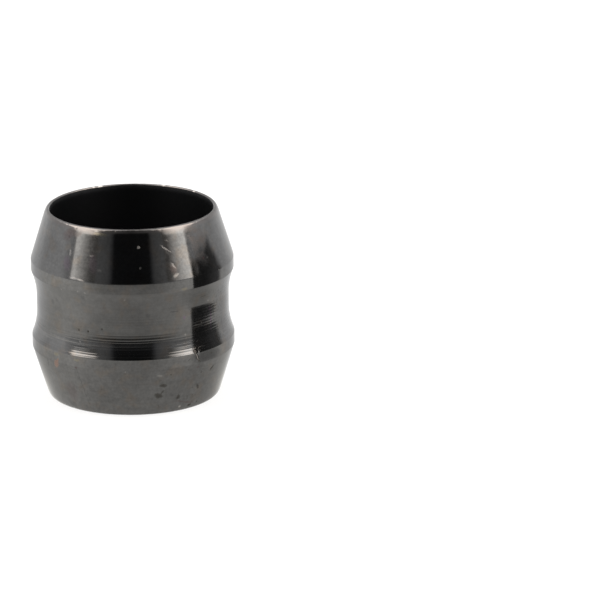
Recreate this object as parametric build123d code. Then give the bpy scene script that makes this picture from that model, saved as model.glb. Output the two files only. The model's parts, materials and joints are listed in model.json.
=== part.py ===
from build123d import *
import math
import os

# Driving dimensions in millimetres and degrees
hose_diameter = 5.0
hose_clearance = 0.1
land_diameter = 6.35
waist_diameter = 6.0
overall_length = 6.0
seat_length = 1.6
seat_half_angle = 17.2
land_width = 0.35
waist_floor_width = 0.44
outer_edge_break = 0.08
bore_edge_break = 0.02
land_edge_radius = 0.06

# Sizes worked out from the driving dimensions
bore_radius = (hose_diameter + hose_clearance) / 2
land_radius = land_diameter / 2
waist_radius = waist_diameter / 2
mid_height = overall_length / 2
seat_slope = math.tan(math.radians(seat_half_angle))
seat_foot_radius = land_radius - (seat_length - outer_edge_break) * seat_slope
end_face_outer_radius = seat_foot_radius - outer_edge_break
end_face_inner_radius = bore_radius + bore_edge_break
land_end = seat_length + land_width
floor_start = mid_height - waist_floor_width / 2
floor_end = mid_height + waist_floor_width / 2


def lower_outline():
    """Edges of the lower end, from the mouth of the bore round to the floor of the waist.

    The section is drawn with the radius along X and the height along Y.
    """
    bore_break = Line((bore_radius, bore_edge_break), (end_face_inner_radius, 0))
    end_face = Line(bore_break @ 1, (end_face_outer_radius, 0))
    outer_break = Line(end_face @ 1, (seat_foot_radius, outer_edge_break))
    cone_seat = Line(outer_break @ 1, (land_radius, seat_length))
    land = Line(cone_seat @ 1, (land_radius, land_end))
    # The flank is one arc that leaves the floor of the waist tangentially and climbs to the land
    flank = TangentArc((waist_radius, floor_start), land @ 1, tangent=(0, -1))
    return Curve() + [bore_break, end_face, outer_break, cone_seat, land, flank]


def turned_section():
    """Closed section of the wall: both ends are alike, and the corners of the lands are eased."""
    lower = lower_outline()
    upper = mirror(lower, about=Plane.XZ.offset(-mid_height))
    waist_floor = Line((waist_radius, floor_start), (waist_radius, floor_end))
    bore_wall = Line((bore_radius, bore_edge_break), (bore_radius, overall_length - bore_edge_break))
    section = make_face(lower.edges() + upper.edges() + [waist_floor, bore_wall])
    land_corners = [
        corner
        for corner in section.vertices()
        if math.isclose(corner.X, land_radius, abs_tol=1e-6)
    ]
    return fillet(land_corners, radius=land_edge_radius)


# The sleeve is turned in one piece: its section goes once round the bore's axis
olive = revolve(Plane.XZ * turned_section(), axis=Axis.Z, revolution_arc=360)
olive.label = "olive"

os.makedirs("parts", exist_ok=True)
export_step(olive, "parts/olive.step")
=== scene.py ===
"""Turned hose olive with a dark nickel plating, standing on a white sheet in a small light tent.

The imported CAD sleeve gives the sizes. This file turns a finer copy of it, with the tool marks,
dents and edges that a loose olive has, and plates it. Lengths are in metres and angles in radians.
"""

import json
import math

import bpy
import numpy as np
from bpy.props import FloatProperty, FloatVectorProperty, IntProperty, PointerProperty
from mathutils import Matrix, Vector


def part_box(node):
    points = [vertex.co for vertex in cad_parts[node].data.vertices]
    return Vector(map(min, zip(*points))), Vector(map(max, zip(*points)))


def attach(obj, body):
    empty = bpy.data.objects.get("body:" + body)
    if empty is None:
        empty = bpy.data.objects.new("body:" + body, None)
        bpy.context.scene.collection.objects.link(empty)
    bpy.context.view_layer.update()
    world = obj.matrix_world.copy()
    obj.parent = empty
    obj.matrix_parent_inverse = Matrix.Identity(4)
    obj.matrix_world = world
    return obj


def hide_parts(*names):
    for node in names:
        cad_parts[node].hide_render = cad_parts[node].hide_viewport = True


bl_info = {
    "name": "Hose Olive",
    "version": (1, 0, 0),
    "blender": (4, 5, 0),
    "location": "View3D > Sidebar > Olive",
    "description": "Turns and plates a brake hose olive and sets up its light tent",
    "category": "Add Mesh",
}

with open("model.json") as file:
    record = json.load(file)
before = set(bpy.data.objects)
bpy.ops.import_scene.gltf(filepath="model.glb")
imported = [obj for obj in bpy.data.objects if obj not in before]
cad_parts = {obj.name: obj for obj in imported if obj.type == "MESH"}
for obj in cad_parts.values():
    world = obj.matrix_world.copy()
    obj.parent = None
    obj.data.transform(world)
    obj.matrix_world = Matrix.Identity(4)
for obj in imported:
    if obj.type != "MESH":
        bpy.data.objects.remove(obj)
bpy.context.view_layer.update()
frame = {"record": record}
olive_low, olive_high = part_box("olive")
bore_mount = next(m for m in frame["record"]["mounts"] if m["name"] == "hose_bore")

MM = 1e-3
MICRON = 1e-6
MID_HEIGHT = (olive_low.z + olive_high.z) / 2

# Radius in millimetres at which turns round the axis are unrolled to a length
UNROLL = 3.0

PICTURE_SIDE = 600
SENSOR_WIDTH = 36.0

# Casts of white: plain, both strips low and high up, the shaded wall, and the sheet
WHITE = (1.0, 1.0, 1.0, 1.0)
STRIP_WHITE = (1.03, 1.0, 0.95, 1.0)
HIGH_STRIP_WHITE = (1.07, 1.0, 0.93, 1.0)
SHADE_WHITE = (0.97, 1.0, 1.06, 1.0)
SHEET_WHITE = (1.015, 1.0, 0.955, 1.0)

# Strip lights, in degrees from the camera's side: the card's inner edge, the inner edge of its light
# in the low and in the middle stretch, the outer edge, and how far that one bulges low down and
# swings out at the top
STRIP_INNER = 41.0
LOW_INNER = 46.0
MIDDLE_INNER = 42.0
STRIP_OUTER = 73.2
STRIP_BULGE = 7.0
STRIP_SWING = 38.0

# How far the line between the low and the middle stretch drops with each degree outwards
STRIP_SLANT = 0.0027

# Light of each strip: its side, then for its low and its middle stretch the level, how soon it is
# full across the width, and the power by which it rises till then
STRIPS = {
    "left_strip": (-1, (2.95, 1.25, 1.65), (5.0, 1.25, 0.30)),
    "right_strip": (1, (4.4, 1.0, 1.0), (5.8, 1.4, 0.75)),
}
TOP_POWER = 0.8
STRIP_BASE = 0.36

# Brightness of the tent's walls by azimuth in degrees, from the camera's side towards the right
TENT_LEVELS = (
    (-180, 0.90),
    (-160, 1.05),
    (-142, 1.42),
    (-118, 1.27),
    (-96, 1.48),
    (-88, 1.52),
    (-77, 0.95),
    (-50, 0.60),
    (-42, 0.45),
    (-27.5, 0.33),
    (-21, 0.035),
    (0, 0.03),
    (22.5, 0.035),
    (28, 0.31),
    (42, 0.48),
    (50, 0.65),
    (76, 0.92),
    (86, 1.40),
    (96, 1.50),
    (120, 1.22),
    (142, 1.35),
    (160, 1.10),
    (180, 0.90),
)

# The same for the tent's roof
ROOF_LEVELS = (
    (-180, 0.7),
    (-150, 1.6),
    (-120, 2.6),
    (-110, 3.3),
    (-62, 3.3),
    (-42, 0.4),
    (0, 0.12),
    (42, 0.4),
    (62, 2.7),
    (105, 2.7),
    (125, 2.4),
    (150, 1.8),
    (180, 0.7),
)

# The same for the painted pools of light that the sheet shows in reflections, away from the olive and
# close to its foot
SHEET_LEVELS = (
    (-180, 0.64),
    (-168, 0.68),
    (-146, 1.00),
    (-122, 1.36),
    (-98, 1.62),
    (-76, 1.72),
    (-62, 1.64),
    (-50, 1.46),
    (-38, 1.24),
    (-26, 1.06),
    (-10, 0.95),
    (8, 0.90),
    (22, 0.97),
    (34, 1.13),
    (47, 1.32),
    (60, 1.48),
    (76, 1.58),
    (96, 1.48),
    (119, 1.22),
    (143, 1.15),
    (155, 1.02),
    (168, 0.78),
    (180, 0.66),
)
FOOT_LEVELS = (
    (-180, 0.70),
    (-124, 0.72),
    (-107, 0.95),
    (-92, 1.17),
    (-79, 1.32),
    (-66, 1.43),
    (-46, 1.42),
    (-32, 1.30),
    (-21, 1.16),
    (-10, 1.08),
    (4, 1.02),
    (20, 1.08),
    (36, 1.11),
    (56, 1.08),
    (79, 1.12),
    (93, 1.18),
    (108, 1.12),
    (126, 1.05),
    (150, 0.80),
    (180, 0.70),
)

# Dark card beside the olive, in millimetres: how far right of the axis it stands, the distance back
# and the height along its sharp left edge, and the distance back and the foot of its right edge
FLAG_RIGHT = 8.0
FLAG_FAR = 2.8
FLAG_FAR_FOOT = 1.45
FLAG_EDGE = (
    (-3.85, 0.60),
    (-3.95, 1.10),
    (-4.15, 1.80),
    (-4.30, 3.00),
    (-4.30, 4.20),
    (-4.35, 5.10),
    (-4.40, 5.65),
    (-4.20, 5.95),
    (-3.65, 6.20),
    (-3.00, 6.45),
    (-2.60, 6.65),
)

# Where along the cone the second handle of the rim's curve lies, as a share of the rounding
RIM_EASE = 0.42

# Grooves of the turning tool: height and reach in millimetres, depth in microns, and the turn in
# degrees from the front at which the groove is deepest
RINGS = (
    # height, depth, reach, strongest
    (3.725, 0.8, 0.020, 30),
    (3.370, 0.7, 0.018, 40),
    (3.125, 0.6, 0.020, 0),
    (2.835, 0.7, 0.018, -10),
    (2.700, 0.3, 0.015, 20),
    (2.510, 2.0, 0.014, -20),
    (2.443, 2.4, 0.014, -30),
    (2.321, 1.5, 0.014, -30),
    (2.232, 0.5, 0.014, -10),
    (2.115, 1.6, 0.013, 0),
    (2.043, 1.4, 0.012, 0),
    (1.970, 1.2, 0.012, 10),
)

# Knocks: turn in degrees, height, reach round and up in millimetres, depth in microns, lean
DENTS = (
    (39.8, 1.85, 0.020, 0.13, 9.0, -14),
    (40.6, 1.93, 0.014, 0.09, 6.0, -14),
    (19.0, 1.021, 0.055, 0.035, 6.0, 0),
    (16.6, 0.674, 0.070, 0.045, 8.0, 0),
    (18.9, 0.764, 0.025, 0.035, 5.0, -35),
    (29.9, 0.514, 0.045, 0.045, 7.0, 0),
    (43.8, 0.764, 0.025, 0.050, 6.0, -40),
    (53.4, 1.284, 0.022, 0.055, 6.0, -40),
    (16.4, 1.381, 0.060, 0.030, 4.0, 0),
    (-32.6, 2.758, 0.035, 0.035, 3.5, 0),
    (-26.0, 2.758, 0.035, 0.045, 4.0, 0),
    (-17.3, 2.885, 0.030, 0.035, 3.0, 0),
    (22.6, 5.39, 0.13, 0.012, 3.0, -52),
    (26.4, 4.875, 0.09, 0.015, 3.0, -50),
    (27.4, 4.60, 0.07, 0.020, 3.0, 40),
    (32.3, 0.163, 0.05, 0.030, 6.0, 0),
    (39.7, 0.147, 0.06, 0.030, 6.0, 0),
)

# Degrees between the small nicks along both rims, and the seed of their scatter
NICK_STEP = 7
NICK_SEED = 7

# Marks by kind. Each runs from one turn in degrees and height in millimetres to another, with its
# width in millimetres and its strength
MARKS = {
    "pit": (
        (-32.6, 2.758, -32.6, 2.758, 0.06, 0.8),
        (-26.0, 2.770, -26.0, 2.745, 0.06, 0.9),
        (-17.3, 2.885, -17.3, 2.885, 0.06, 0.7),
        (18.0, 1.030, 19.9, 1.010, 0.12, 0.75),
        (15.6, 0.690, 17.4, 0.650, 0.17, 0.75),
        (17.8, 0.700, 19.2, 0.820, 0.07, 0.6),
        (29.7, 0.500, 30.1, 0.530, 0.13, 0.75),
        (43.2, 0.820, 44.5, 0.710, 0.09, 0.75),
        (44.4, 1.251, 44.4, 1.251, 0.07, 0.7),
        (52.3, 1.224, 54.5, 1.344, 0.07, 0.85),
        (36.8, 0.490, 36.8, 0.490, 0.05, 0.5),
        (41.1, 0.487, 41.1, 0.487, 0.05, 0.5),
        (39.8, 0.754, 39.8, 0.754, 0.05, 0.5),
        (45.4, 1.334, 45.4, 1.334, 0.05, 0.6),
        (34.3, 1.464, 34.3, 1.464, 0.05, 0.4),
        (17.1, 0.297, 17.1, 0.297, 0.06, 0.4),
        (39.2, 0.147, 40.3, 0.150, 0.08, 0.9),
        (46.2, 0.200, 46.2, 0.200, 0.06, 0.7),
        (23.2, 1.377, 23.2, 1.377, 0.05, 0.5),
        (49.3, 1.821, 52.4, 1.811, 0.03, 0.8),
        (33.7, 1.764, 35.3, 1.801, 0.03, 0.6),
        (38.3, 2.018, 41.2, 1.688, 0.09, 0.9),
        (-9.6, 5.963, -9.6, 5.963, 0.05, 0.8),
    ),
    "shade": (
        (-24.2, 5.560, -24.2, 5.570, 0.09, 0.55),
        (-23.7, 5.390, -23.7, 5.400, 0.08, 0.6),
        (-42.0, 5.640, -42.0, 5.640, 0.08, 0.5),
        (-28.3, 3.862, -28.3, 3.862, 0.14, 0.3),
        (-53.7, 3.462, -53.7, 3.462, 0.14, 0.35),
        (-49.5, 3.569, -49.5, 3.569, 0.12, 0.3),
        (-36.2, 2.531, -15.9, 2.505, 0.025, 0.6),
        (-37.3, 2.248, -24.7, 2.268, 0.03, 0.7),
        (10.3, 3.342, 10.3, 3.342, 0.14, 0.3),
        (24.1, 3.375, 29.0, 3.365, 0.03, 0.6),
        (44.9, 3.682, 49.1, 3.682, 0.03, 0.6),
        (-56.3, 1.600, -57.6, 1.340, 0.05, 0.75),
        (-59.4, 1.207, -55.3, 1.094, 0.03, 0.4),
        (-36.0, 1.487, -34.8, 1.487, 0.03, 0.4),
        (-33.0, 1.514, -28.7, 0.270, 0.022, 0.6),
        (-43.9, 0.180, -41.0, 0.190, 0.16, 0.3),
        # Painted reflection of a dark thing beside the olive, a patch of shade on the lower land's
        # right side
        (41.0, 1.800, 54.0, 1.790, 0.36, 0.5),
    ),
    "bare": (
        (-38.8, 5.130, -39.2, 5.250, 0.07, 0.22),
        (-24.8, 5.180, -22.9, 5.195, 0.05, 0.14),
        (-18.4, 4.786, -17.4, 4.786, 0.07, 0.12),
        (-35.8, 4.480, -31.8, 4.470, 0.045, 0.18),
        (-30.6, 4.450, -26.4, 4.416, 0.055, 0.26),
        (5.7, 5.490, 5.7, 5.490, 0.09, 0.8),
        (6.3, 4.883, 6.3, 4.883, 0.07, 0.45),
        (20.0, 5.493, 25.3, 5.290, 0.050, 0.42),
        (25.4, 4.936, 27.4, 4.813, 0.05, 0.32),
        (26.6, 4.560, 28.0, 4.600, 0.10, 0.24),
        (22.7, 5.653, 25.3, 5.606, 0.02, 0.2),
        (59.4, 4.399, 59.4, 4.399, 0.05, 0.5),
        (51.5, 4.879, 51.5, 4.879, 0.05, 0.25),
        (-42.7, 4.016, -42.7, 4.016, 0.05, 0.15),
        (-31.0, 4.052, -31.0, 4.052, 0.05, 0.15),
        (-26.2, 4.042, -26.2, 4.042, 0.05, 0.15),
        (-2.9, 3.882, -2.9, 3.882, 0.05, 0.15),
        (-31.4, 2.401, -31.4, 2.401, 0.06, 0.25),
        # The next two are painted highlights: light lines on the dark front of the waist where two
        # tool grooves catch light
        (-30.0, 2.345, 9.0, 2.335, 0.035, 0.09),
        (-12.0, 2.458, 14.0, 2.455, 0.030, 0.07),
        (33.6, 2.568, 33.6, 2.568, 0.06, 0.20),
        (40.0, 2.802, 46.2, 2.755, 0.025, 0.20),
        (46.2, 2.825, 46.2, 2.825, 0.05, 0.30),
        (43.6, 2.465, 43.6, 2.465, 0.04, 0.20),
        (41.7, 2.291, 41.7, 2.291, 0.04, 0.20),
        (38.0, 2.088, 47.2, 2.098, 0.03, 0.22),
        (52.1, 3.482, 52.1, 3.482, 0.05, 0.3),
        (-3.4, 1.571, -3.4, 1.571, 0.04, 0.25),
        (15.8, 1.381, 17.0, 1.381, 0.08, 0.15),
        (38.6, 1.960, 40.7, 1.740, 0.030, 0.45),
        (32.0, 0.163, 32.6, 0.163, 0.06, 0.4),
        (-23.6, 5.930, -21.0, 5.926, 0.05, 0.3),
        (-157.5, 5.990, -155.0, 5.975, 0.06, 1.0),
        (-152.0, 5.960, -151.0, 5.990, 0.05, 0.6),
        (131.0, 5.985, 132.2, 5.975, 0.06, 0.9),
        (157.0, 5.990, 159.0, 5.990, 0.04, 0.6),
    ),
    "stain": (
        (-45.0, 5.700, -40.0, 5.760, 0.26, 0.40),
        (-44.6, 5.600, -42.0, 5.640, 0.22, 0.30),
        (48.4, 4.893, 48.4, 4.893, 0.12, 0.7),
        (-33.1, 1.571, -33.1, 1.571, 0.06, 0.6),
        (40.8, 1.474, 40.8, 1.474, 0.08, 0.5),
        (29.2, 0.390, 34.0, 0.340, 0.05, 0.5),
        (35.0, 0.300, 42.6, 0.210, 0.07, 0.45),
        (-40.7, 0.757, -40.7, 0.557, 0.45, 0.25),
        (25.6, 4.780, 26.5, 4.733, 0.20, 0.30),
    ),
    "rust": (
        (-48.9, 1.490, -47.8, 1.580, 0.18, 0.45),
        (-47.2, 1.640, -46.4, 1.700, 0.07, 0.4),
    ),
    "violet": (
        (-40.6, 4.930, -39.6, 4.780, 0.26, 0.35),
        (-22.6, 5.100, -21.6, 4.800, 0.26, 0.30),
        (33.5, 3.118, 33.5, 3.118, 0.10, 0.6),
        (53.7, 3.205, 53.7, 3.205, 0.12, 0.7),
        (54.9, 3.182, 54.6, 2.505, 0.06, 0.7),
    ),
    "haze": (
        (43.5, 5.720, 49.5, 5.420, 0.60, 0.55),
        (45.0, 5.250, 48.5, 4.900, 0.45, 0.40),
        (-37.0, 5.700, -33.0, 5.860, 0.20, 0.4),
    ),
    "straw": (
        (-22.5, 5.850, -16.0, 5.840, 0.10, 0.45),
        (30.8, 4.105, 32.8, 4.102, 0.08, 0.4),
        (-33.6, 1.824, -31.8, 1.824, 0.09, 0.4),
        (-48.6, 1.861, -46.8, 1.861, 0.10, 0.4),
    ),
}

# What a mark of each kind turns the plating into: colour, roughness and share of metal
KINDS = {
    "shade": ((0.040, 0.040, 0.042), 0.20, 1.0),
    "haze": ((0.105, 0.088, 0.080), 0.42, 1.0),
    "violet": ((0.110, 0.080, 0.110), 0.15, 1.0),
    "straw": ((0.170, 0.150, 0.100), 0.20, 1.0),
    "stain": ((0.062, 0.040, 0.040), 0.30, 1.0),
    "rust": ((0.200, 0.085, 0.045), 0.60, 0.3),
    "pit": ((0.026, 0.023, 0.019), 0.50, 0.8),
    "bare": ((0.420, 0.400, 0.380), 0.50, 1.0),
}

# Patterns in the plating: scale per millimetre, octaves, stretch, and how strongly each one shades
# the cones and the waist
PATTERNS = {
    "streaks": (1.0, 3.0, (0.5, 0.5, 26.0), 0.16, 0.0),
    "lines": (1.0, 2.0, (0.9, 0.9, 9.0), 0.15, 0.15),
    "grain": (13.0, 2.0, None, 0.50, 0.30),
    "mottle": (5.5, 2.0, None, 0.40, 0.25),
    "cloud": (1.3, 2.0, None, 0.35, 0.35),
}


class SleeveShape(bpy.types.PropertyGroup):
    """Sizes of the turned sleeve. The outer ones come from the frame."""

    land_radius: FloatProperty(
        name="Land radius",
        description="Largest radius, over both lands",
        default=(olive_high.x - olive_low.x) / 2,
        unit="LENGTH",
    )
    length: FloatProperty(
        name="Length",
        description="Height from end face to end face",
        default=olive_high.z - olive_low.z,
        unit="LENGTH",
    )
    bore_radius: FloatProperty(
        name="Bore radius",
        description="Radius of the hole that the hose slides through",
        default=bore_mount["dims"]["r_mm"] * MM,
        unit="LENGTH",
    )
    waist_radius: FloatProperty(
        name="Waist radius",
        description="Radius at the floor of the waist",
        default=3.01 * MM,
        unit="LENGTH",
    )
    seat_length: FloatProperty(
        name="Seat length",
        description="Height of each cone",
        default=1.6 * MM,
        unit="LENGTH",
    )
    seat_angle: FloatProperty(
        name="Seat angle",
        description="Angle between a cone's side and the axis",
        default=math.radians(17.2),
        subtype="ANGLE",
    )
    land_width: FloatProperty(
        name="Land width",
        description="Height of each cylindrical land",
        default=0.35 * MM,
        unit="LENGTH",
    )
    floor_width: FloatProperty(
        name="Floor width",
        description="Height of the straight stretch in the middle of the waist",
        default=0.44 * MM,
        unit="LENGTH",
    )
    rim_on_cone: FloatProperty(
        name="Rim on cone",
        description="How far down the cone the rounding of its outer edge begins",
        default=0.28 * MM,
        unit="LENGTH",
    )
    rim_on_face: FloatProperty(
        name="Rim on face",
        description="How far in on the end face that rounding ends",
        default=0.07 * MM,
        unit="LENGTH",
    )
    bore_break: FloatProperty(
        name="Bore edge break",
        description="Bevel where the bore meets an end face",
        default=0.040 * MM,
        unit="LENGTH",
    )
    softness: FloatProperty(
        name="Edge softness",
        description="Spread of the rounding that tumbling gives to every edge",
        default=0.010 * MM,
        unit="LENGTH",
    )
    front_columns: IntProperty(
        name="Front columns",
        description="Mesh columns on the half that carries most marks",
        default=232,
    )
    back_columns: IntProperty(
        name="Back columns",
        description="Mesh columns on the other half",
        default=86,
    )
    feed: FloatProperty(
        name="Feed",
        description="Height between two passes of the turning tool",
        default=0.09 * MM,
        unit="LENGTH",
    )


class PlatingFinish(bpy.types.PropertyGroup):
    """Colours and gloss of the plating."""

    nickel: FloatVectorProperty(
        name="Nickel",
        description="Dark plating seen head on",
        default=(0.0915, 0.0910, 0.0910),
        subtype="COLOR",
        size=3,
        min=0.0,
        max=1.0,
    )
    warm_nickel: FloatVectorProperty(
        name="Warm nickel",
        description="Dark plating where its film has a brown cast",
        default=(0.0980, 0.0910, 0.0850),
        subtype="COLOR",
        size=3,
        min=0.0,
        max=1.0,
    )
    worn_rim: FloatVectorProperty(
        name="Worn rim",
        description="Plating that is rubbed thin at the rims of the end faces",
        default=(0.117, 0.107, 0.1025),
        subtype="COLOR",
        size=3,
        min=0.0,
        max=1.0,
    )
    # Painted shade: the film inside the bore is painted almost black for the shade in the hole
    painted_bore_shade: FloatVectorProperty(
        name="Dull bore",
        description="Film inside the bore",
        default=(0.0122, 0.0126, 0.0137),
        subtype="COLOR",
        size=3,
        min=0.0,
        max=1.0,
    )
    relief: FloatProperty(
        name="Relief",
        description="Height of the finest streaks and grain",
        default=0.25 * MICRON,
        unit="LENGTH",
    )
    edge_tint: FloatVectorProperty(
        name="Edge tint",
        description="Share of white light that the plating returns at a grazing angle",
        default=(0.84, 0.84, 0.84),
        subtype="COLOR",
        size=3,
        min=0.0,
        max=1.0,
    )
    roughness: FloatProperty(
        name="Roughness",
        description="Roughness of the smooth cones",
        default=0.09,
        min=0.0,
        max=1.0,
    )


class TentSetup(bpy.types.PropertyGroup):
    """Camera, strip lights and tent walls."""

    camera_distance: FloatProperty(
        name="Camera distance",
        description="From the lens to the olive's middle, along the line of sight",
        default=190.5 * MM,
        unit="LENGTH",
    )
    camera_pitch: FloatProperty(
        name="Camera pitch",
        description="How far the camera looks down",
        default=math.radians(16.9),
        subtype="ANGLE",
    )
    camera_roll: FloatProperty(
        name="Camera roll",
        description="Turn of the camera about its line of sight",
        default=math.radians(-0.53),
        subtype="ANGLE",
    )
    pixels_per_radius: FloatProperty(
        name="Picture scale",
        description="Pixels of the 600 pixel picture in one land radius",
        default=101.25,
    )
    offset_right: FloatProperty(
        name="Offset right",
        description="How far the olive's middle stands right of the picture's centre",
        default=-5.238 * MM,
        unit="LENGTH",
    )
    offset_up: FloatProperty(
        name="Offset up",
        description="How far the olive's middle stands above the picture's centre",
        default=0.103 * MM,
        unit="LENGTH",
    )
    strip_distance: FloatProperty(
        name="Strip distance",
        description="From the olive's axis to both strip lights",
        default=120 * MM,
        unit="LENGTH",
    )
    top_level: FloatProperty(
        name="Strip brightness",
        description="Brightness of the strip lights near their top, where 1 is white",
        default=6.0,
    )


class Wire:
    """One output of a node in a shader tree, or the bare tree.

    Arithmetic on it adds Math nodes, so that shader maths reads as an expression on values.
    """

    def __init__(self, tree, socket=None):
        self.tree = tree
        self.socket = socket

    def make(self, kind, settings=None, inputs=None, output=0):
        """Adds a node: its settings or a ramp's stops first, then its sockets' values or links."""
        node = self.tree.nodes.new(kind)
        for name, value in (settings or {}).items():
            if name == "stops":
                ramp = node.color_ramp.elements
                ramp.remove(ramp[1])
                ramp[0].position = value[0][0]
                ramp[0].color = (*value[0][1], 1.0)
                for place, colour in value[1:]:
                    ramp.new(place).color = (*colour, 1.0)
            else:
                setattr(node, name, value)
        for name, value in (inputs or {}).items():
            if isinstance(value, Wire):
                self.tree.links.new(value.socket, node.inputs[name])
            else:
                node.inputs[name].default_value = value
        return Wire(self.tree, node.outputs[output] if node.outputs else None)

    def math(self, operation, *values):
        """Number from a Math node."""
        return self.make("ShaderNodeMath", {"operation": operation}, dict(enumerate(values)))

    def vector(self, operation, *values, output=0):
        """Vector from a Vector Math node, or its number with output 1."""
        inputs = dict(enumerate(values))
        return self.make("ShaderNodeVectorMath", {"operation": operation}, inputs, output)

    def __add__(self, other):
        return self.math("ADD", self, other)

    def __radd__(self, other):
        return self.math("ADD", other, self)

    def __sub__(self, other):
        return self.math("SUBTRACT", self, other)

    def __rsub__(self, other):
        return self.math("SUBTRACT", other, self)

    def __mul__(self, other):
        return self.math("MULTIPLY", self, other)

    def __rmul__(self, other):
        return self.math("MULTIPLY", other, self)

    def __truediv__(self, other):
        return self.math("DIVIDE", self, other)

    def __rtruediv__(self, other):
        return self.math("DIVIDE", other, self)

    def between(self, low, high, to_low=0.0, to_high=1.0, interpolation_type="SMOOTHSTEP"):
        """Step from to_low, below low, to to_high, above high."""
        return self.make(
            "ShaderNodeMapRange",
            {"interpolation_type": interpolation_type},
            {"Value": self, "From Min": low, "From Max": high, "To Min": to_low, "To Max": to_high},
        )

    def split(self):
        """The three parts of a vector."""
        first = self.make("ShaderNodeSeparateXYZ", None, {0: self})
        outputs = first.socket.node.outputs
        return [Wire(self.tree, output) for output in outputs]

    def mix_colour(self, share, first, second, blend="MIX"):
        """Colour between the first and the second, or their product or sum with another blend."""
        return self.make(
            "ShaderNodeMix",
            {"data_type": "RGBA", "blend_type": blend},
            {0: share, 6: first, 7: second},
            output=2,
        )


def half_outline(shape):
    """Lower half of the section, from the bore's middle round to the waist's middle.

    Each span is a line of points (radius, height) with its mesh rows in the lower and in the upper
    half, and how strongly those rows crowd towards the span's ends. The rim is a cubic curve that
    starts along the end face and eases into the cone. The flank is the circle that touches the
    waist's floor and passes through the land's edge: with rise d and run h its radius is
    (h^2 + d^2) / 2d.
    """
    middle = shape.length / 2
    slope = math.tan(shape.seat_angle)
    corner = np.array([shape.land_radius - shape.seat_length * slope, 0.0])
    up_cone = np.array([math.sin(shape.seat_angle), math.cos(shape.seat_angle)])
    rim_foot = corner - [shape.rim_on_face, 0.0]
    rim_head = corner + shape.rim_on_cone * up_cone
    t = np.linspace(0, 1, 24)[:, None]
    rim_bend = corner + (rim_head - corner) * RIM_EASE
    rim = (
        rim_foot * (1 - t) ** 3
        + corner * 3 * t * (1 - t) ** 2
        + rim_bend * 3 * t**2 * (1 - t)
        + rim_head * t**3
    )
    land_end = shape.seat_length + shape.land_width
    floor_start = middle - shape.floor_width / 2
    run = floor_start - land_end
    rise = shape.land_radius - shape.waist_radius
    flank_radius = (run**2 + rise**2) / (2 * rise)
    sweep = np.linspace(math.asin(run / flank_radius), 0.0, 64)
    flank = np.stack(
        [
            shape.waist_radius + flank_radius * (1 - np.cos(sweep)),
            floor_start - flank_radius * np.sin(sweep),
        ],
        axis=1,
    )
    mouth = [shape.bore_radius, shape.bore_break]
    face = [shape.bore_radius + shape.bore_break, 0.0]
    land_foot = [shape.land_radius, shape.seat_length]
    land_head = [shape.land_radius, land_end]
    waist_middle = [shape.waist_radius, middle]
    return [
        (np.array([[shape.bore_radius, middle], mouth]), 8, 8, 0.6),
        (np.array([mouth, face]), 3, 4, 0.0),
        (np.array([face, rim_foot]), 3, 5, 0.3),
        (rim, 8, 14, 0.0),
        (np.array([rim_head, land_foot]), 36, 42, 0.5),
        (np.array([land_foot, land_head]), 16, 16, 0.7),
        (flank, 78, 44, 0.0),
        (np.array([[shape.waist_radius, floor_start], waist_middle]), 14, 12, 0.3),
    ]


def along(points):
    """Distance along a line of points, from its first one."""
    steps = np.linalg.norm(np.diff(points, axis=0), axis=1)
    return np.concatenate([[0.0], np.cumsum(steps)])


def section_rows(shape):
    """Radius, height and outward normal of every mesh row, once round the closed section.

    The sharp outline is sampled evenly, each sample is averaged with its neighbours under a bell
    curve, which rounds the corners, and the rows are read off that smooth line.
    """
    points = []
    lower_rows = []
    upper_rows = []
    start = 0.0
    for line, lower_count, upper_count, crowding in half_outline(shape):
        span = along(line)[-1]
        for rows, count in ((lower_rows, lower_count), (upper_rows, upper_count)):
            share = np.arange(count) / count
            rows.append(start + span * (share - crowding * np.sin(2 * np.pi * share) / (2 * np.pi)))
        points.append(line if not points else line[1:])
        start += span
    half = np.concatenate(points)
    mirrored = half[::-1] * [1, -1] + [0, shape.length]
    outline = np.concatenate([half, mirrored[1:]])
    total = 2 * start
    lower = np.concatenate(lower_rows)
    upper = np.concatenate(upper_rows)
    rows = np.concatenate([lower, [start], (total - upper)[:0:-1]])
    count = 16384
    even = np.arange(count) * total / count
    sharp = np.stack([np.interp(even, along(outline), outline[:, k]) for k in (0, 1)], axis=1)
    reach = np.minimum(even, total - even)
    bell = np.exp(-0.5 * (reach / shape.softness) ** 2)
    bell /= bell.sum()
    soft = np.fft.irfft(np.fft.rfft(sharp, axis=0) * np.fft.rfft(bell)[:, None], n=count, axis=0)
    lean = np.roll(soft, -1, axis=0) - np.roll(soft, 1, axis=0)
    lean /= np.linalg.norm(lean, axis=1, keepdims=True)
    looped = np.concatenate([soft, soft[:1]])
    leaning = np.concatenate([lean, lean[:1]])
    steps = np.append(even, total)
    radius, height = (np.interp(rows, steps, looped[:, k]) for k in (0, 1))
    along_r, along_z = (np.interp(rows, steps, leaning[:, k]) for k in (0, 1))
    return radius, height, along_z, -along_r


def column_angles(shape):
    """Angle of every mesh column about the axis, closer together on the front half."""
    front = np.linspace(-math.pi, 0, shape.front_columns, endpoint=False)
    back = np.linspace(0, math.pi, shape.back_columns, endpoint=False)
    return np.concatenate([front, back])


def dent(arc, height, turn, z, reach_arc, reach_z, depth, tilt=0.0):
    """Depth of one bell-shaped dent. Its place is a turn in degrees and a height in millimetres."""
    across = arc - math.radians(turn) * UNROLL * MM
    up = height - z * MM
    lean = math.radians(tilt)
    along_arc = (across * math.cos(lean) + up * math.sin(lean)) / (reach_arc * MM)
    along_up = (up * math.cos(lean) - across * math.sin(lean)) / (reach_z * MM)
    return depth * MICRON * np.exp(-0.5 * (along_arc**2 + along_up**2))


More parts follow.
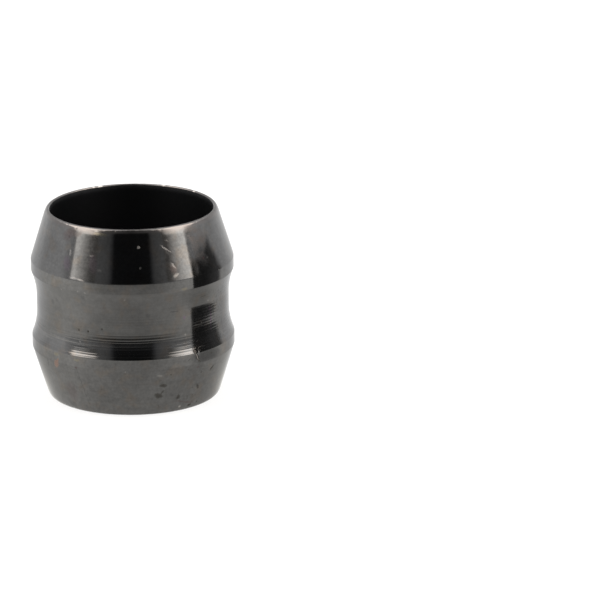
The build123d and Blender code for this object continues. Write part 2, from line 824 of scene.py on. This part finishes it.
def tool_marks(shape, radius, height, angle):
    """How far every point of the outside is cut or knocked in from the true section.

    The feed is a cosine wave over the height that fades out of the waist and wanders a little round
    the sleeve. Each groove is a bell curve over the height, deepest at one turn, and each knock or
    nick is a bell over both.
    """
    turn = (angle + 1.5 * math.pi) % (2 * math.pi) - math.pi
    turn, height = np.broadcast_arrays(turn, height[:, None])
    arc = turn * UNROLL * MM
    depth = np.zeros(turn.shape)
    waist_reach = 0.75 * MM
    waist = np.exp(-0.5 * ((height - MID_HEIGHT) / waist_reach) ** 4)
    wander = 0.012 * MM * np.sin(turn + 1.0)
    half_cut = 0.35 * MICRON
    depth += half_cut * waist * (1 + np.cos(2 * np.pi * (height + wander) / shape.feed))
    for z, cut, reach, strongest in RINGS:
        share = 0.65 + 0.35 * np.cos(turn - math.radians(strongest))
        depth += cut * MICRON * share * np.exp(-0.5 * ((height / MM - z) / reach) ** 2)
    for knock in DENTS:
        depth += dent(arc, height, *knock)
    chance = np.random.default_rng(NICK_SEED)
    nicks = np.arange(-180, 180, NICK_STEP)
    for end in (0.0, shape.length / MM):
        inward = 1 if end == 0.0 else -1
        for turned in nicks + chance.uniform(-3, 3, len(nicks)):
            z = end + inward * chance.uniform(0.0, 0.06)
            reach = chance.uniform(0.02, 0.05)
            depth += dent(arc, height, turned, z, reach, 0.02, chance.uniform(1.0, 6.0))
    outside = radius > (shape.bore_radius + 0.01 * MM)
    return depth * outside[:, None]


def add_mesh(name, points, faces):
    """Object at the origin, made of points and of faces that number them."""
    mesh = bpy.data.meshes.new(name)
    mesh.from_pydata(points, [], faces)
    mesh.update()
    piece = bpy.data.objects.new(name, mesh)
    bpy.context.scene.collection.objects.link(piece)
    return piece


def quads(index):
    """Four-cornered faces between neighbouring rows and columns of a grid of point numbers."""
    corners = [index[:-1, :-1], index[:-1, 1:], index[1:, 1:], index[1:, :-1]]
    return np.stack(corners, axis=-1).reshape(-1, 4)


def numbered(points):
    """Grid of point numbers for a grid of points."""
    rows, columns = points.shape[:2]
    return np.arange(rows * columns).reshape(rows, columns)


def closed_grid(name, points):
    """Smooth object from points on a grid whose rows and columns both close on themselves."""
    faces = quads(np.pad(numbered(points), (0, 1), mode="wrap"))
    piece = add_mesh(name, points.reshape(-1, 3), faces)
    piece.data.polygons.foreach_set("use_smooth", np.ones(len(faces), bool))
    return piece


def turned_points(shape):
    """Grid of points on the sleeve: each row of the section goes once round the axis.

    Every point then moves against its normal by the depth of the tool marks and knocks there.
    """
    radius, height, normal_r, normal_z = section_rows(shape)
    angle = column_angles(shape)
    depth = tool_marks(shape, radius, height, angle)
    reach = radius[:, None] - depth * normal_r[:, None]
    return np.stack(
        [reach * np.cos(angle), reach * np.sin(angle), height[:, None] - depth * normal_z[:, None]],
        axis=-1,
    )


def mark_mask(flat, marks):
    """Where marks of one kind lie on the unrolled outside: 0 to 1, soft at the edges.

    Each mark is an ellipse drawn round its two ends. A place belongs to it where the squares of its
    distances along and across, each as a share of the ellipse's reach that way, add up to under 1.
    """
    mask = None
    for turn_a, z_a, turn_b, z_b, width, strength in marks:
        arc_a, arc_b = math.radians(turn_a) * UNROLL, math.radians(turn_b) * UNROLL
        lean = math.atan2(z_b - z_a, arc_b - arc_a)
        half_long = math.hypot(arc_b - arc_a, z_b - z_a) / 2 + width / 2
        half_wide = width / 2
        lengthwise = (math.cos(lean) / half_long, math.sin(lean) / half_long, 0.0)
        crosswise = (-math.sin(lean) / half_wide, math.cos(lean) / half_wide, 0.0)
        middle = ((arc_a + arc_b) / 2, (z_a + z_b) / 2, 0.0)
        off = flat.vector("SUBTRACT", flat, middle)
        far, wide = (off.vector("DOT_PRODUCT", off, way, output=1) for way in (lengthwise, crosswise))
        mark = (far * far + wide * wide).between(0.1, 1.9, strength, 0.0)
        mask = mark if mask is None else mask.math("MAXIMUM", mask, mark)
    return mask


def noise(place, scale, detail=2.0, stretch=None, output=0):
    """Noise over places in millimetres, with a scale per millimetre."""
    if stretch:
        place = place.vector("MULTIPLY", place, stretch)
    settings = {"noise_dimensions": "3D", "normalize": True}
    inputs = {"Vector": place, "Scale": scale, "Detail": detail}
    return place.make("ShaderNodeTexNoise", settings, inputs, output)


def fresh_tree(owner):
    """Empty shader tree of a material or a world."""
    owner.use_nodes = True
    owner.node_tree.nodes.clear()
    return Wire(owner.node_tree)


def pocked_patch(place, arc, from_middle):
    """Fine pocks on the right of the waist, 0 to 1, from the arc and the height off the middle."""
    left_end = arc.between(2.5, 3.1)
    right_end = arc.between(4.4, 5.8, 1.0, 0.0)
    upright = from_middle.between(0.8, 1.1, 1.0, 0.0)
    return noise(place, 15.0, 3.0).between(0.52, 0.68) * left_end * right_end * upright


def plating(finish, shape):
    """Dark nickel with turning streaks, mottling, worn rims, single marks and painted shade in the
    bore.

    Places are in millimetres. Each zone of the sleeve is a mask from 0 to 1 over the height or over
    the distance from the axis. The patterns, the zones and the marks shade the film, and roughness
    and relief follow them.
    """
    material = bpy.data.materials.new("dark_nickel")
    start = fresh_tree(material)
    metres = start.make("ShaderNodeTexCoord", output="Object")
    place = start.vector("MULTIPLY", metres, (1 / MM, 1 / MM, 1 / MM))
    x, y, height = place.split()
    from_axis = start.math("SQRT", x * x + y * y)
    arc = start.math("ARCTAN2", x, 0.0 - y) * UNROLL
    unrolled = start.make("ShaderNodeCombineXYZ", None, {0: arc, 1: height})
    shift = start.vector("SUBTRACT", noise(place, 11.0, 1.0, output=1), (0.5, 0.5, 0.5))
    flat = start.vector("MULTIPLY_ADD", shift, (0.07, 0.07, 0.0), unrolled)

    middle = MID_HEIGHT / MM
    top = shape.length / MM
    bore_wall = shape.bore_radius / MM
    land_out = middle - shape.seat_length / MM
    land_in = land_out - shape.land_width / MM
    from_middle = start.math("ABSOLUTE", height - middle)
    waist = from_middle.between(land_in - 0.03, land_in + 0.09, 1.0, 0.0)
    bore = from_axis.between(bore_wall + 0.006, bore_wall + 0.022, 1.0, 0.0)
    rim = height.between(top - 0.17, top - 0.06)
    flank = height.between(middle - 0.55, middle - 0.05, 1.0, 0.25)
    land_foot = from_middle.between(land_in, land_in + 0.04)
    land = land_foot * from_middle.between(land_out - 0.02, land_out + 0.01, 1.0, 0.0)
    pocked = pocked_patch(place, arc, from_middle)

    tone = 1.0
    patterns = {}
    for name, (scale, octaves, stretch, on_cone, on_waist) in PATTERNS.items():
        pattern = noise(place, scale, octaves, stretch=stretch)
        share = on_cone if on_cone == on_waist else waist.between(0.0, 1.0, on_cone, on_waist)
        tone = tone + (pattern - 0.5) * share
        patterns[name] = pattern
    tone = (
        tone
        + land * 0.09
        - pocked * 0.30
        + waist * height.between(middle - 0.70, middle - 0.55, 0.18, 0.0)
        - waist * height.between(middle - 0.22, middle - 0.05, 0.06, 0.0)
        + (patterns["streaks"] - 0.5) * waist * flank * 0.60
    )
    warm = noise(place, 2.3, 4.0).between(0.50, 0.68)
    colour = start.mix_colour(warm, (*finish.nickel, 1.0), (*finish.warm_nickel, 1.0))
    colour = start.mix_colour(1.0, colour, tone, blend="MULTIPLY")
    colour = start.mix_colour(rim * 0.7, colour, (*finish.worn_rim, 1.0))
    # Painted shade: the bore is painted almost black
    colour = start.mix_colour(bore, colour, (*finish.painted_bore_shade, 1.0))
    roughness = (
        finish.roughness
        + waist * 0.03
        + (patterns["grain"] - 0.5) * 0.06
        + rim * 0.04
        + bore * 0.40
    )
    metal = 1.0
    outside = 1.0 - bore
    masks = {kind: mark_mask(flat, marks) * outside for kind, marks in MARKS.items()}
    masks["haze"] = masks["haze"] * noise(place, 4.5, 3.0).between(0.30, 0.62)
    for kind, (tint, dullness, share) in KINDS.items():
        mask = masks[kind]
        colour = start.mix_colour(mask, colour, (*tint, 1.0))
        roughness = roughness + (dullness - roughness) * mask
        metal = metal + (share - metal) * mask

    relief = (
        patterns["streaks"] * (waist * flank).between(0.0, 1.0, 0.2, 1.0)
        + patterns["lines"] * 0.4
        + patterns["grain"] * 0.35
        - pocked * 2.0
        - masks["pit"] * 6.0
        - masks["bare"] * 2.0
    )
    bump = start.make(
        "ShaderNodeBump", None, {"Strength": 1.0, "Distance": finish.relief, "Height": relief}
    )
    shader = start.make(
        "ShaderNodeBsdfPrincipled",
        None,
        {
            "Base Color": colour,
            "Metallic": metal,
            "Roughness": roughness,
            "Normal": bump,
            "Specular Tint": (*finish.edge_tint, 1.0),
        },
    )
    start.make("ShaderNodeOutputMaterial", None, {"Surface": shader})
    return material


class OLIVE_OT_turn_sleeve(bpy.types.Operator):
    """Turn the sleeve, plate it and put it in place of the CAD solid"""

    bl_idname = "olive.turn_sleeve"
    bl_label = "Turn the Sleeve"

    def execute(self, context):
        shape = context.scene.olive_shape
        sleeve = closed_grid("turned_sleeve", turned_points(shape))
        sleeve.data.materials.append(plating(context.scene.olive_finish, shape))
        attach(sleeve, "root")
        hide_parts("olive")
        return {"FINISHED"}


def azimuth(wire):
    """Azimuth of a direction or a place as turns, 0.5 at the camera's side and more to its right."""
    x, y, _ = wire.split()
    return wire.math("ARCTAN2", x, 0.0 - y) / (2 * math.pi) + 0.5


def turned_stops(levels, full):
    """Ramp stops from pairs of azimuth in degrees and brightness."""
    return [(turn / 360 + 0.5, (level / full,) * 3) for turn, level in levels]


def light_ramp(turn, levels, full):
    """Brightness by azimuth, as a share of the full level."""
    return turn.make("ShaderNodeValToRGB", {"stops": turned_stops(levels, full)}, {0: turn})


def lit_card(name, points, shader_of):
    """Card of the tent that is seen in reflections only, from a grid of points."""
    card = add_mesh(name, points.reshape(-1, 3), quads(numbered(points)))
    card.visible_camera = False
    material = bpy.data.materials.new(name)
    start = fresh_tree(material)
    start.make("ShaderNodeOutputMaterial", None, {"Surface": shader_of(start)})
    card.data.materials.append(material)
    return card


def strip_points(side, setup):
    """Grid of points on one strip light, an upright band round the olive.

    A row is a rise, which is the height above the olive's middle in strip distances, and a column is
    a turn from the camera's side. The outer edge is straight at first, bulges a little, and swings
    out along a smooth step, 3c^2 - 2c^3, towards the top.
    """
    rise = np.tan(np.radians(np.linspace(9.5, 63.0, 40)))[:, None]
    bulge = np.clip((rise - 0.27) / 0.04, 0, 1) * np.clip((0.48 - rise) / 0.08, 0, 1)
    climbed = np.clip((rise - 0.40) / 0.40, 0, 1)
    outer = STRIP_OUTER + STRIP_BULGE * bulge + STRIP_SWING * climbed**2 * (3 - 2 * climbed)
    turn = np.radians(STRIP_INNER + (outer - STRIP_INNER) * np.linspace(0, 1, 24)[None, :])
    x, y, z = np.broadcast_arrays(side * np.sin(turn), -np.cos(turn), rise)
    return setup.strip_distance * np.stack([x, y, z], axis=-1) + [0, 0, MID_HEIGHT]


def hang_strip(name, side, low, middle, setup):
    """One upright strip light, curved round the olive: side is -1 at the left and 1 at the right.

    From its inner edge outwards its brightness rises as a power of the distance across, till it is
    full. The line between its low and its middle stretch is slanted. Near the top both strips have
    the same level, and below that their outer edge is soft.
    """

    def shader(start):
        x, y, z = start.make("ShaderNodeTexCoord", output="Object").split()
        turned = start.math("ARCTAN2", start.math("ABSOLUTE", x), 0.0 - y) * (180 / math.pi)
        rise = z / setup.strip_distance
        slanted = rise + (turned - MIDDLE_INNER) * STRIP_SLANT
        inner = slanted.between(0.325, 0.385, LOW_INNER, MIDDLE_INNER)
        across = (turned - inner) / (STRIP_OUTER - inner)
        level, steep, power = (slanted.between(0.33, 0.38, *ends) for ends in zip(low, middle))
        level = level + rise.between(0.34, 0.52, 0.0, setup.top_level - middle[0])
        power = power + rise.between(0.45, 0.60, 0.0, TOP_POWER - middle[2])
        lit = start.math("MINIMUM", start.math("MAXIMUM", across * steep, 0.0), 1.0)
        soft_end = rise.between(0.27, 0.31, 1.0, 1.24)
        edge = across.between(0.93, soft_end, 1.0, rise.between(0.34, 0.45, 0.20, 1.0))
        strength = start.math("POWER", lit, power) * level * edge + STRIP_BASE
        colour = start.mix_colour(rise.between(0.28, 0.36), STRIP_WHITE, HIGH_STRIP_WHITE)
        return start.make("ShaderNodeEmission", None, {"Color": colour, "Strength": strength})

    return lit_card(name, strip_points(side, setup), shader)


def hang_flag():
    """Small dark card that stands beside the olive and darkens its right flank.

    Its points run straight from its sharp left edge to its right edge. The right edge and the top
    are torn, so they thin out to nothing, and the top is spared a little at the left.
    """
    left = np.array(FLAG_EDGE)
    heights = np.linspace(FLAG_FAR_FOOT, left[-1, 1], len(left))
    right = np.stack([np.full(len(left), FLAG_FAR), heights], axis=1)
    share = np.linspace(0, 1, 9)[:, None, None]
    y, z = np.moveaxis(left * (1 - share) + right * share, -1, 0)
    points = np.stack([np.full(y.shape, FLAG_RIGHT), y, z], axis=-1) * MM

    def shader(start):
        metres = start.make("ShaderNodeTexCoord", output="Object")
        place = start.vector("MULTIPLY", metres, (1 / MM, 1 / MM, 1 / MM))
        _, back, up = place.split()
        torn = noise(place, 1.0, 4.0, stretch=(1.0, 0.9, 5.5)) - 0.5
        speckled = noise(place, 1.0, 3.0, stretch=(1.0, 0.7, 3.0)) - 0.5
        shoulder = start.math("MAXIMUM", up - 4.6, 0.0) * 0.9
        right_edge = (back + torn * 0.9 + shoulder).between(0.8, 2.1, 1.0, 0.0)
        spared = back.between(-4.4, -3.2, 0.5, 0.0)
        top_edge = (up + speckled * 1.5 - spared).between(5.55, 6.40, 1.0, 0.0)
        glow = (back + speckled).between(-2.4, 1.3, 0.07, 0.25)
        clear = start.make("ShaderNodeBsdfTransparent")
        dark = start.make("ShaderNodeEmission", None, {"Color": WHITE, "Strength": glow})
        shown = right_edge * top_edge
        return start.make("ShaderNodeMixShader", None, {0: shown, 1: clear, 2: dark})

    flag = lit_card("dark_flag", points, shader)
    flag.visible_diffuse = False
    flag.visible_shadow = False
    return flag


def lay_sheet():
    """Round white sheet that the olive stands on.

    In reflections it glows with painted pools of light below both strips, darkens towards the camera
    and has a painted shadow round the dark card's foot.
    """
    radius = 60 * MM
    sunk = 0.002 * MM
    corners = 128
    angle = np.linspace(0, 2 * math.pi, corners, endpoint=False)
    heights = np.full(corners, -sunk)
    rim = np.stack([radius * np.cos(angle), radius * np.sin(angle), heights], axis=1)
    sheet = add_mesh("white_sheet", rim, [list(range(corners))])
    material = bpy.data.materials.new("white_acrylic")
    start = fresh_tree(material)
    matt = start.make("ShaderNodeBsdfDiffuse", None, {"Color": (0.17, 0.17, 0.17, 1.0)})
    glow = start.make("ShaderNodeEmission", None, {"Color": WHITE, "Strength": 0.81})
    seen = start.make("ShaderNodeAddShader", None, {0: matt, 1: glow})
    place = start.make("ShaderNodeTexCoord", output="Object")
    full = 2.0
    turn = azimuth(place)
    away = start.vector("LENGTH", place, output=1)
    pools, foot = (light_ramp(turn, levels, full) for levels in (SHEET_LEVELS, FOOT_LEVELS))
    level = start.mix_colour(away.between(3.6 * MM, 10 * MM), foot, pools)
    _, y, _ = place.split()
    towards_camera = 0.0 - y / away
    dusk = 1.0 - away.between(12.5 * MM, 27 * MM) * towards_camera.between(0.45, 0.95) * 0.9
    lift = away.between(12 * MM, 40 * MM, 1.0, 1.2)
    # Painted shadow of the dark card on the sheet, seen in reflections only
    from_flag_foot = start.vector("DISTANCE", place, (8.2 * MM, -1.9 * MM, 0.0), output=1)
    cast = start.mix_colour(towards_camera.between(-0.75, -0.10), WHITE, SHEET_WHITE)
    level = start.mix_colour(1.0, level, cast, blend="MULTIPLY")
    strength = dusk * lift * from_flag_foot.between(0.8 * MM, 3.8 * MM, 0.60, 1.0) * full
    mirrored = start.make("ShaderNodeEmission", None, {"Color": level, "Strength": strength})
    glossy_ray = start.make("ShaderNodeLightPath", output="Is Glossy Ray")
    mixed = start.make("ShaderNodeMixShader", None, {0: glossy_ray, 1: seen, 2: mirrored})
    start.make("ShaderNodeOutputMaterial", None, {"Surface": mixed})
    sheet.data.materials.append(material)
    return sheet


def light_tent():
    """Tent of white cloth: dark where the camera looks in, pale at the sides and the back.

    Its roof is brightest over both sides, and a thin haze lies on it near the sheet.
    """
    world = bpy.data.worlds.new("light_tent")
    start = fresh_tree(world)
    direction = start.make("ShaderNodeTexCoord", output="Generated")
    full = 4.0
    turn = azimuth(direction)
    walls, roof = (light_ramp(turn, levels, full) for levels in (TENT_LEVELS, ROOF_LEVELS))
    _, y, up = direction.split()
    cast = start.mix_colour((0.0 - y).between(0.84, 0.90), WHITE, SHADE_WHITE)
    walls = start.mix_colour(1.0, walls, cast, blend="MULTIPLY")
    cloth = start.mix_colour(up.between(0.42, 0.62), walls, roof)
    haze = up.between(0.02, 0.27, 0.09 / full, 0.0)
    cloth = start.mix_colour(1.0, cloth, haze, blend="ADD")
    camera_ray = start.make("ShaderNodeLightPath", output="Is Camera Ray")
    tent = start.make("ShaderNodeBackground", None, {"Color": cloth, "Strength": full})
    white = start.make("ShaderNodeBackground", None, {"Color": WHITE, "Strength": 1.0})
    mixed = start.make("ShaderNodeMixShader", None, {0: camera_ray, 1: tent, 2: white})
    start.make("ShaderNodeOutputWorld", None, {"Surface": mixed})
    bpy.context.scene.world = world


def point_camera(setup, shape):
    """Camera aimed so that the olive stands left of the picture's centre, as in the photograph."""
    data = bpy.data.cameras.new("camera")
    data.sensor_width = SENSOR_WIDTH
    focal_pixels = setup.pixels_per_radius * setup.camera_distance / shape.land_radius
    data.lens = SENSOR_WIDTH * focal_pixels / PICTURE_SIDE
    data.clip_start = 10 * MM
    data.clip_end = 2.0
    camera = bpy.data.objects.new("camera", data)
    pitch = setup.camera_pitch
    right = Vector((1, 0, 0))
    up = Vector((0, math.sin(pitch), math.cos(pitch)))
    forward = Vector((0, math.cos(pitch), -math.sin(pitch)))
    middle = Vector((0, 0, shape.length / 2))
    camera.location = (
        middle
        - setup.offset_right * right
        - setup.offset_up * up
        - setup.camera_distance * forward
    )
    level = Matrix((right, up, -forward)).transposed()
    roll = Matrix.Rotation(setup.camera_roll, 3, "Z")
    camera.rotation_euler = (level @ roll).to_euler()
    bpy.context.scene.collection.objects.link(camera)
    bpy.context.scene.camera = camera


class OLIVE_OT_set_stage(bpy.types.Operator):
    """Lay the white sheet, hang the strip lights and point the camera"""

    bl_idname = "olive.set_stage"
    bl_label = "Set the Stage"

    def execute(self, context):
        setup = context.scene.olive_tent
        lay_sheet()
        light_tent()
        for name, light in STRIPS.items():
            hang_strip(name, *light, setup)
        hang_flag()
        point_camera(setup, context.scene.olive_shape)
        context.scene.view_settings.view_transform = "Standard"
        return {"FINISHED"}


class OLIVE_PT_sidebar(bpy.types.Panel):
    """Sidebar panel with the sizes, the finish and the steps in order"""

    bl_idname = "OLIVE_PT_sidebar"
    bl_label = "Hose Olive"
    bl_space_type = "VIEW_3D"
    bl_region_type = "UI"
    bl_category = "Olive"

    def draw(self, context):
        for group in (context.scene.olive_shape, context.scene.olive_finish, context.scene.olive_tent):
            box = self.layout.box()
            for name in group.__annotations__:
                box.prop(group, name)
        for step in STEPS:
            self.layout.operator(step.bl_idname)


STEPS = (OLIVE_OT_turn_sleeve, OLIVE_OT_set_stage)
GROUPS = {"olive_shape": SleeveShape, "olive_finish": PlatingFinish, "olive_tent": TentSetup}
CLASSES = (*GROUPS.values(), *STEPS, OLIVE_PT_sidebar)


def register():
    for cls in CLASSES:
        bpy.utils.register_class(cls)
    for name, cls in GROUPS.items():
        setattr(bpy.types.Scene, name, PointerProperty(type=cls))


def unregister():
    for name in GROUPS:
        delattr(bpy.types.Scene, name)
    for cls in reversed(CLASSES):
        bpy.utils.unregister_class(cls)


def main():
    register()
    bpy.ops.olive.turn_sleeve()
    bpy.ops.olive.set_stage()


if __name__ == "__main__":
    main()
